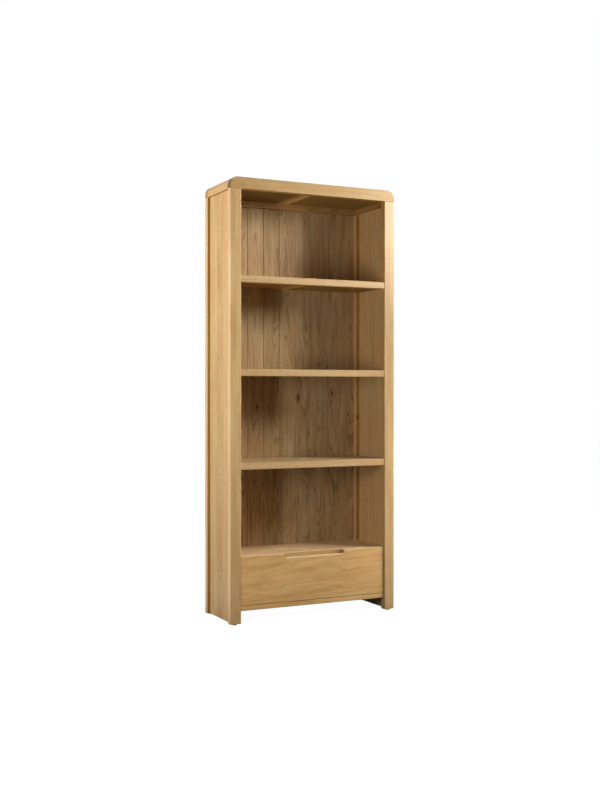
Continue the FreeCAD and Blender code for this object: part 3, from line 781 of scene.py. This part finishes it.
@dataclass(frozen=True)
class ScrewHead:
    """The head of a countersunk wood screw, with a cross recess."""

    radius_mm: float = 3.5
    height_mm: float = 0.7
    crown_share: float = 0.84
    slot_length_mm: float = 4.2
    slot_width_mm: float = 1.0
    slot_depth_mm: float = 0.5
    sides: int = 24
    seed: int = 7

    def sizes(self) -> dict[str, float]:
        """List the sizes of the head.

        Returns:
            Each size in metres, by the name of its input.
        """
        return {"Radius": self.radius_mm * MM, "Height": self.height_mm * MM,
                "Slot length": self.slot_length_mm * MM, "Slot width": self.slot_width_mm * MM,
                "Slot depth": self.slot_depth_mm * MM}

    @cache
    def tree(self) -> Tree:
        """Build the tree that sets a head on every vertex.

        Returns:
            A Geometry Nodes tree. Each vertex has the direction of its head as "facing".
        """
        tree, given = new_group("GeometryNodeTree", "screw_heads", {
            "Points": "NodeSocketGeometry", "Finish": "NodeSocketMaterial",
            **dict.fromkeys(self.sizes(), "NodeSocketFloat"),
        }, {"Heads": "NodeSocketGeometry"})
        known = add_steps(tree, given, (
            ("crown", MATHS, "MULTIPLY", ("Radius", self.crown_share)),
            ("disc", "GeometryNodeMeshCone", {}, {
                "Vertices": self.sides, "Radius Top": "crown", "Radius Bottom": "Radius",
                "Depth": "Height",
            }),
            ("cut", MATHS, "MULTIPLY", ("Slot depth", 2.0)),
            ("to crown", JOIN, {}, (0.0, 0.0, "Height")),
            ("slot size", JOIN, {}, ("Slot length", "Slot width", "cut")),
            ("cross size", JOIN, {}, ("Slot width", "Slot length", "cut")),
            ("slot box", "GeometryNodeMeshCube", {}, {"Size": "slot size"}),
            ("cross box", "GeometryNodeMeshCube", {}, {"Size": "cross size"}),
            ("slot", "GeometryNodeTransform", {},
             {"Geometry": "slot box", "Translation": "to crown"}),
            ("cross", "GeometryNodeTransform", {},
             {"Geometry": "cross box", "Translation": "to crown"}),
            ("slotted", "GeometryNodeMeshBoolean", "DIFFERENCE",
             {"Mesh 1": "disc", "Mesh 2": "slot"}),
            ("crossed", "GeometryNodeMeshBoolean", "DIFFERENCE",
             {"Mesh 1": "slotted", "Mesh 2": "cross"}),
            ("way", "GeometryNodeInputNamedAttribute", {"data_type": "FLOAT_VECTOR"},
             {"Name": "facing"}),
            ("aimed", "FunctionNodeAlignRotationToVector", {"axis": "Z"}, {"Vector": "way"}),
            ("turn", "FunctionNodeRandomValue", {"data_type": "FLOAT"},
             {RANDOM_MOST: math.tau, "Seed": self.seed}),
            ("spin", "FunctionNodeAxisAngleToRotation", {},
             {"Axis": (0.0, 0.0, 1.0), "Angle": "turn"}),
            ("driven", "FunctionNodeRotateRotation", {"rotation_space": "LOCAL"},
             ("aimed", "spin")),
            ("heads", "GeometryNodeInstanceOnPoints", {}, {
                "Points": "Points", "Instance": "crossed", "Rotation": "driven",
            }),
            ("solid", "GeometryNodeRealizeInstances", {}, {"Geometry": "heads"}),
            ("plated", "GeometryNodeSetMaterial", {}, {"Geometry": "solid", "Material": "Finish"}),
        ))
        add_node(tree, "NodeGroupOutput", None, {"Heads": known["plated"]})
        return tree

    def drive(self, name: str, screws: list[tuple[Triple, Triple]], body: str,
              finish: Material) -> None:
        """Make the screws of one body as one plain mesh.

        Args:
            name: Name of the piece.
            screws: For each screw its place in millimetres and the direction of its head.
            body: The body that they ride on.
            finish: Their material.
        """
        points = bpy.data.meshes.new(f"{name}_points")
        points.from_pydata([Vector(place) * MM for place, _ in screws], [], [])
        facing = points.attributes.new("facing", "FLOAT_VECTOR", "POINT")
        for datum, (_, way) in zip(facing.data, screws):
            datum.vector = way
        carrier = new_object(f"{name}_points", points)
        modifier = carrier.modifiers.new("screw_heads", "NODES")
        modifier.node_group = self.tree()
        values = {**self.sizes(), "Finish": finish}
        for item in modifier.node_group.interface.items_tree:
            if item.name in values:
                modifier[item.identifier] = values[item.name]
        graph = bpy.context.evaluated_depsgraph_get()
        mesh = bpy.data.meshes.new_from_object(carrier.evaluated_get(graph))
        carrier.modifiers.remove(modifier)
        bpy.data.objects.remove(carrier)
        piece = new_object(name, mesh)
        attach(piece, body)
        log.info("%s: %d screws", name, len(screws))


def dress(node: str, material: Material) -> None:
    """Give a CAD node its finish.

    Args:
        node: Name of the node.
        material: The finish for its whole surface.
    """
    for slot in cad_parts[node].material_slots:
        slot.material = material
    log.info("%s: %s", node, material.name)


def dress_in_oak(node: str, finish: OakFinish, lay: Lay, marks: Marks = Marks()) -> None:
    """Give a CAD node a cut of oak of its own.

    Args:
        node: Name of the node.
        finish: The kind of oak and its lacquer.
        lay: How the piece lies.
        marks: What sets it apart.
    """
    dress(node, finish.material(node, lay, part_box(node), marks))


def both_sides(name: str) -> tuple[str, str]:
    """Names of the left and the right one of a pair of nodes."""
    return f"left_{name}", f"right_{name}"


@dataclass
class Gables:
    """Posts, side panels and glides at both ends of the bookcase."""

    post: OakFinish = POST_OAK
    panel: OakFinish = PANEL_OAK
    glide: GlideFinish = GlideFinish()
    # Painted shade: the rear posts' faces that look to the front, in the shade beside the side
    # panels, are darkened.
    painted_step_shade: FacingToneAndShade = FacingToneAndShade((0.0, -1.0, 0.0), "CEC49B")
    # Of the left one, and of the right one.
    rear_post_knots: tuple[tuple[Knot, ...], ...] = ((), (Knot((358.0, 120.0, 870.0), 5.0, 2.2),))
    # Painted light: the right panel is paler, for the light that falls on its inner face.
    panels_painted_lighter: tuple[float, ...] = (0.0, 0.4)

    def build(self) -> None:
        """Dress both gables."""
        for node in both_sides("front_post"):
            dress_in_oak(node, self.post, Lay.UPRIGHT_FACING_FRONT)
        for node, knots in zip(both_sides("rear_post"), self.rear_post_knots):
            marks = Marks(knots, painted_shades=(self.painted_step_shade,))
            dress_in_oak(node, self.post, Lay.UPRIGHT_FACING_FRONT, marks)
        for node, paler in zip(both_sides("side_panel"), self.panels_painted_lighter):
            dress_in_oak(node, self.panel, Lay.UPRIGHT_FACING_SIDE, Marks(paler=paler))
        dress("glides", self.glide.material())


@dataclass(frozen=True)
class LeafPaintedLight:
    """How the ceiling leaves and shelf leaves differ: painted shade and painted light, by how
    light falls on them.
    """

    # Painted shade: the undersides are browner and darker.
    painted_underside_shade: FacingToneAndShade = FacingToneAndShade((0.0, 0.0, -1.0), "AF9C68")
    deep_painted_underside_shade: FacingToneAndShade = FacingToneAndShade((0.0, 0.0, -1.0), "98864A")
    # Painted light: two left leaves are paler where they meet the right ones, a lit wedge beside
    # the joint.
    painted_ceiling_light: PaintedLightStretch = PaintedLightStretch(
        (0.0, 0.0, 1853.0), (10.0, 170.0, 5.0), (75.0, 75.0, 10.0), "F6C87E", 0.85)
    sanded_shelf: PaintedLightStretch = PaintedLightStretch(
        (0.0, 0.0, 1456.0), (10.0, 170.0, 4.0), (75.0, 75.0, 8.0), "DDB268", 0.8)

    def marks(self, node: str) -> Marks:
        """Choose the marks of a leaf.

        Args:
            node: Name of the leaf.

        Returns:
            Its marks.
        """
        return {
            # The left ceiling leaf is darkened all over: painted shade from the left post and top
            # rail.
            "left_ceiling_leaf": Marks(paler=-0.5, painted_shades=(self.deep_painted_underside_shade,),
                                       painted_lights=(self.painted_ceiling_light,)),
            "right_ceiling_leaf": Marks(paler=0.3, painted_shades=(self.painted_underside_shade,)),
            "left_upper_shelf_leaf": Marks(painted_shades=(self.painted_underside_shade,),
                                           painted_lights=(self.sanded_shelf,)),
            "right_upper_shelf_leaf": Marks(paler=0.2, painted_shades=(self.painted_underside_shade,)),
        }.get(node, Marks(painted_shades=(self.painted_underside_shade,)))


@dataclass
class Top:
    """Frame of rails with its panel, the two ceiling leaves and the battens under them."""

    rail: OakFinish = RAIL_OAK_WITH_PAINTED_SHADE
    panel: OakFinish = PANEL_OAK
    board: OakFinish = BOARD_OAK
    batten: OakFinish = BATTEN_OAK
    leaf_tones: LeafPaintedLight = LeafPaintedLight()
    # The top front rail's end grain is darker still: its own end grain, and painted shade of the
    # gap beside the end rails.
    end_grain_and_painted_shade: FacingToneAndShade = FacingToneAndShade((1.0, 0.0, 0.0), "A08646", both_ways=True)

    def build(self) -> None:
        """Dress the top."""
        marks = Marks(painted_shades=(self.end_grain_and_painted_shade,))
        dress_in_oak("top_front_rail", self.rail, Lay.ACROSS_FACING_FRONT, marks)
        dress_in_oak("top_back_rail", self.rail, Lay.ACROSS_FACING_FRONT)
        for node in both_sides("top_end_rail"):
            dress_in_oak(node, self.rail, Lay.DEEP_FACING_SIDE)
        for node in both_sides("ceiling_leaf"):
            dress_in_oak(node, self.board, Lay.ACROSS_FACING_UP, self.leaf_tones.marks(node))
        dress_in_oak("top_panel", self.panel, Lay.ACROSS_FACING_UP)
        dress_in_oak("upper_back_batten", self.batten, Lay.ACROSS_FACING_FRONT)
        dress_in_oak("top_centre_rail", self.batten, Lay.DEEP_FACING_UP)
        for node in both_sides("upper_side_batten"):
            dress_in_oak(node, self.batten, Lay.DEEP_FACING_SIDE)


@dataclass
class Shelves:
    """Three fixed shelves, and the deck over the drawer."""

    names: tuple[str, ...] = ("lower", "middle", "upper")
    lipping: OakFinish = LIPPING_OAK
    board: OakFinish = BOARD_OAK
    deck: OakFinish = DECK_OAK_WITH_PAINTED_LIGHT
    leaf_tones: LeafPaintedLight = LeafPaintedLight()
    # Painted shade: the deck lipping's front face, seen through the drawer's pull, is darkened.
    painted_slot_shade: FacingToneAndShade = FacingToneAndShade((0.0, -1.0, 0.0), "CBBB98")

    def build(self) -> None:
        """Dress the shelves and the deck."""
        for name in self.names:
            dress_in_oak(f"{name}_shelf_lipping", self.lipping, Lay.ACROSS_FACING_FRONT)
            for node in both_sides(f"{name}_shelf_leaf"):
                dress_in_oak(node, self.board, Lay.ACROSS_FACING_UP, self.leaf_tones.marks(node))
        marks = Marks(painted_shades=(self.painted_slot_shade,))
        dress_in_oak("deck_lipping", self.deck, Lay.ACROSS_FACING_UP, marks)
        dress_in_oak("deck_board", self.deck, Lay.ACROSS_FACING_UP)


@dataclass
class Back:
    """Tongued and grooved back boards, the rails under the drawer, and the boards' screws."""

    board_count: int = 9
    board_pitch_mm: float = 80.0
    outer_face_mm: float = 149.0
    screw_rows_mm: tuple[float, ...] = (67.0, 278.5, 674.0, 1073.0, 1472.0, 1836.5)
    screw: ScrewHead = ScrewHead()
    board: OakFinish = BACK_OAK
    front_rail: OakFinish = FRONT_OAK
    back_rail: OakFinish = BATTEN_OAK
    steel: ZincFinish = ZincFinish()
    knots: dict[int, tuple[Knot, ...]] = field(default_factory=lambda: {
        3: (Knot((-151.0, 141.0, 919.0), 6.5, 2.6, 0.8),),
        4: (Knot((-64.0, 141.0, 1326.0), 4.0, 6.0, 0.6),),
        5: (Knot((-26.0, 141.0, 1812.0), 4.0, 1.8),),
        6: (Knot((56.0, 141.0, 960.0), 11.0, 1.9), Knot((97.0, 141.0, 615.0), 3.5, 5.0, 0.6)),
        8: (Knot((231.0, 141.0, 983.0), 8.0, 2.0, 0.8),),
        9: (Knot((319.0, 141.0, 883.0), 6.5, 1.3, 0.5),),
    })
    # Painted light: the three left boards are paler, where the light of the right lamp falls on
    # the back.
    boards_with_painted_light: dict[int, float] = field(default_factory=lambda: {1: 0.05, 2: 0.1, 3: 0.1})

    def build(self) -> None:
        """Dress the back and the base rails, and drive the screws from behind."""
        for number in range(1, self.board_count + 1):
            marks = Marks(self.knots.get(number, ()), self.boards_with_painted_light.get(number, 0.0))
            dress_in_oak(f"back_board_{number}", self.board, Lay.UPRIGHT_FACING_FRONT, marks)
        dress_in_oak("base_front_rail", self.front_rail, Lay.ACROSS_FACING_FRONT)
        dress_in_oak("base_back_rail", self.back_rail, Lay.ACROSS_FACING_FRONT)
        first = -self.board_pitch_mm * (self.board_count - 1) / 2
        across = [first + self.board_pitch_mm * place for place in range(self.board_count)]
        screws = [((x, self.outer_face_mm, z), (0.0, 1.0, 0.0))
                  for z in self.screw_rows_mm for x in across]
        self.screw.drive("back_board_screws", screws, "carcass", self.steel.material())


@dataclass
class Drawer:
    """Drawer front, the dovetailed box behind it, and the screws of front and runners."""

    front: OakFinish = FRONT_OAK
    box: OakFinish = BOX_ASH
    bottom: OakFinish = BIRCH_PLY
    steel: ZincFinish = ZincFinish()
    screw: ScrewHead = ScrewHead()
    # Painted highlights on both edges of the front that catch the light: the lip of the pull, and
    # the top.
    painted_edge_highlights: tuple[PaintedLightStretch, ...] = (
        PaintedLightStretch((0.0, -145.0, 270.5), (128.0, 8.0, 2.0), (20.0, 2.5, 2.5), "F8DAAA", 0.85),
        PaintedLightStretch((0.0, -145.0, 287.5), (350.0, 30.0, 0.6), (1.5, 1.5, 1.5), "F0D2A0"),
    )
    inner_face_mm: float = -108.0
    front_screws_across_mm: tuple[float, ...] = (-230.0, 0.0, 230.0)
    front_screws_up_mm: tuple[float, ...] = (130.0, 215.0)
    runner_face_mm: float = 338.2
    runner_screws_deep_mm: tuple[float, ...] = (-90.0, 10.0, 100.0)
    runner_screws_up_mm: float = 150.0

    def build(self) -> None:
        """Dress the drawer and drive its screws."""
        marks = Marks(painted_lights=self.painted_edge_highlights)
        dress_in_oak("drawer_front", self.front, Lay.ACROSS_FACING_FRONT, marks)
        for node in ("drawer_box_front", "drawer_box_back"):
            dress_in_oak(node, self.box, Lay.ACROSS_FACING_FRONT)
        for node in both_sides("drawer_side"):
            dress_in_oak(node, self.box, Lay.DEEP_FACING_SIDE)
        dress_in_oak("drawer_bottom", self.bottom, Lay.ACROSS_FACING_UP)
        screws = [((x, self.inner_face_mm, z), (0.0, 1.0, 0.0))
                  for x in self.front_screws_across_mm for z in self.front_screws_up_mm]
        screws += [((side * self.runner_face_mm, y, self.runner_screws_up_mm), (side, 0.0, 0.0))
                   for side in (-1.0, 1.0) for y in self.runner_screws_deep_mm]
        self.screw.drive("drawer_screws", screws, "drawer", self.steel.material())


@dataclass
class Runners:
    """Telescopic runners and the battens that carry them."""

    steel: ZincFinish = ZincFinish()
    batten: OakFinish = BATTEN_OAK

    def build(self) -> None:
        """Dress both runners."""
        for member in ("cabinet", "middle", "drawer"):
            for node in both_sides(f"runner_{member}_member"):
                dress(node, self.steel.material())
        for node in both_sides("runner_batten"):
            dress_in_oak(node, self.batten, Lay.DEEP_FACING_SIDE)


# "seen" is 1 for rays from camera, gloss and glass, and 0 for light that falls on a surface.
SEEN_STEPS: Steps = (
    ("rays", "ShaderNodeLightPath", {}, ()),
    ("either", MATHS, "MAXIMUM", ("rays.Is Camera Ray", "rays.Is Glossy Ray")),
    ("seen", MATHS, "MAXIMUM", ("either", "rays.Is Transmission Ray")),
)


@dataclass(frozen=True)
class Softbox:
    """A rectangular lamp that looks at a point."""

    name: str
    place: Triple
    target: Triple
    width: float
    height: float
    power: float
    spread_degrees: float = 180.0   # a grid on the lamp narrows it

    def build(self) -> None:
        """Hang the lamp."""
        lamp = bpy.data.lights.new(self.name, "AREA")
        lamp.shape = "RECTANGLE"
        lamp.size, lamp.size_y = self.width, self.height
        lamp.energy = self.power
        lamp.spread = math.radians(self.spread_degrees)
        piece = new_object(self.name, lamp)
        piece.location = self.place
        aim = Vector(self.target) - Vector(self.place)
        piece.rotation_euler = aim.to_track_quat("-Z", "Y").to_euler()
        log.info("%s: %.0f W", self.name, self.power)


@dataclass
class Studio:
    """Pale floor, soft lamps, and the camera at eye height to the left of the bookcase."""

    camera_place: Triple = (-2.15277, -4.46506, 0.98454)
    camera_turn: float = -0.466507
    lens_mm: float = 49.56
    shift: tuple[float, float] = (-0.02424, -0.00913)
    lamps: tuple[Softbox, ...] = (
        Softbox("right_softbox", (1.69, -1.30, 2.07), (-0.4, 0.1, 1.6), 0.6, 0.6, 15.8, 90.0),
        Softbox("low_softbox", (1.40, -0.50, 0.65), (0.0, -0.15, 0.25), 0.4, 0.8, 6.4, 90.0),
        Softbox("left_softbox", (-1.90, -1.52, 1.00), (0.2, 0.0, 1.1), 0.3, 0.9, 21.3),
        Softbox("side_softbox", (-2.40, 0.35, 1.80), (-0.4, 0.0, 1.3), 0.8, 0.8, 47.5),
        Softbox("back_softbox", (0.30, 3.20, 1.60), (0.0, 0.0, 1.0), 1.2, 1.2, 50.0),
    )
    sky_strength: float = 0.01
    floor_radius: float = 30.0
    floor_sides: int = 64
    floor_hex: str = "3C3B3A"
    floor_seen_hex: str = "A8A8A8"
    floor_glow: Range = (0.96, 1.0)
    floor_glow_radii: Range = (0.7, 3.5)
    shade_radii: Range = (0.35, 0.8)    # gloss on the wood sees the floor dark under the case

    def build(self) -> None:
        """Set up camera, lamps, sky and floor."""
        self.build_camera()
        for lamp in self.lamps:
            lamp.build()
        self.build_sky()
        self.build_floor()
        bpy.context.scene.view_settings.view_transform = "Standard"

    def build_camera(self) -> None:
        """Place a level camera, shifted a little to frame the bookcase."""
        data = bpy.data.cameras.new("camera")
        data.lens = self.lens_mm
        data.shift_x, data.shift_y = self.shift
        camera = new_object("camera", data)
        camera.location = self.camera_place
        camera.rotation_euler = (math.pi / 2, 0.0, self.camera_turn)
        bpy.context.scene.camera = camera

    def build_sky(self) -> None:
        """A dim even sky that looks white."""
        world = bpy.data.worlds.new("studio_sky")
        world.use_nodes = True
        world.node_tree.nodes.clear()
        add_steps(world.node_tree, {}, SEEN_STEPS + (
            ("strength", RANGE, {}, ("seen", 0.0, 1.0, self.sky_strength, 1.0)),
            ("sky", "ShaderNodeBackground", {},
             {"Color": linear("FFFFFF"), "Strength": "strength"}),
            ("surface", "ShaderNodeOutputWorld", {}, {"Surface": "sky"}),
        ))
        bpy.context.scene.world = world

    def build_floor(self) -> None:
        """A plain round floor that looks white and keeps the bookcase's shadow."""
        mesh = bpy.data.meshes.new("floor")
        angles = [math.tau * place / self.floor_sides for place in range(self.floor_sides)]
        rim = [(self.floor_radius * math.cos(angle), self.floor_radius * math.sin(angle), 0.0)
               for angle in angles]
        mesh.from_pydata(rim, [], [tuple(range(self.floor_sides))])
        floor = new_object("floor", mesh)
        material = new_material("pale_studio_paper")
        add_steps(material.node_tree, {}, SEEN_STEPS + (
            ("places", PLACES, {}, ()),
            ("distance", VECTORS, "LENGTH", ("places.Object",)),
            ("brightness", RANGE, SMOOTH, ("distance", *self.floor_glow_radii, *self.floor_glow)),
            ("clear", RANGE, SMOOTH, ("distance", *self.shade_radii)),
            ("in the clear", MATHS, "MAXIMUM", ("clear", "rays.Is Camera Ray")),
            ("strength", MATHS, "MULTIPLY", ("brightness", "in the clear")),
            ("paper", "ShaderNodeBsdfDiffuse", {}, {"Color": linear(self.floor_hex)}),
            ("seen paper", "ShaderNodeBsdfDiffuse", {}, {"Color": linear(self.floor_seen_hex)}),
            ("glow", "ShaderNodeEmission", {}, {"Strength": "strength"}),
            ("white", "ShaderNodeAddShader", {}, ("seen paper", "glow")),
            ("either paper", "ShaderNodeMixShader", {}, ("seen", "paper", "white")),
            ("surface", RESULT, {}, {"Surface": "either paper"}),
        ))
        mesh.materials.append(material)


def main() -> None:
    """Dress the bookcase and set up the studio."""
    logging.basicConfig(level=logging.INFO, format="%(message)s")
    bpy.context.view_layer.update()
    Studio().build()
    for part in (Gables(), Top(), Shelves(), Back(), Drawer(), Runners()):
        part.build()


if __name__ == "__main__":
    main()
